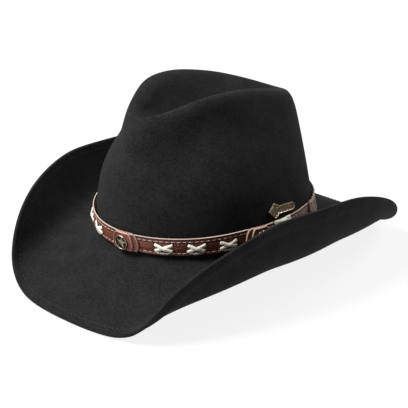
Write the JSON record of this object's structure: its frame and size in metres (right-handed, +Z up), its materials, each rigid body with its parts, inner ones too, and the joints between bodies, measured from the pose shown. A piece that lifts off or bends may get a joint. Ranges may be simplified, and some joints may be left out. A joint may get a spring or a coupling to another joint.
{
  "type": "western felt hat",
  "caption": "Black felt hat with a pinched crown, a brim rolled up at both sides, and a brown leather band with cream lacing, star conchos and a side badge.",
  "frame": {"origin": "centre of the bounding box at the surface that the hat rests on", "axes": "+Z up, +Y to the back of the hat and -Y to its front, +X to the wearer's left"},
  "size_m": [0.2532, 0.3294, 0.1626],
  "materials": {
    "felt": "matt wool felt",
    "leather": "red-brown, tooled",
    "lace": "matt cream lacing",
    "bronze": "aged bronze"
  },
  "bodies": {
    "root": {"felt_body": "felt", "hat_band": "leather", "concho_tab_1": "leather", "concho_tab_2": "leather", "concho_tab_3": "leather", "concho_1": "bronze", "concho_2": "bronze", "concho_3": "bronze", "band_keeper_1": "leather", "band_keeper_2": "leather", "lace_cross_1": "lace", "lace_cross_2": "lace", "lace_cross_3": "lace", "lace_cross_4": "lace", "lace_cross_5": "lace", "lace_cross_6": "lace", "lace_cross_7": "lace", "lace_cross_8": "lace", "side_badge": "bronze"}
  },
  "joints": []
}
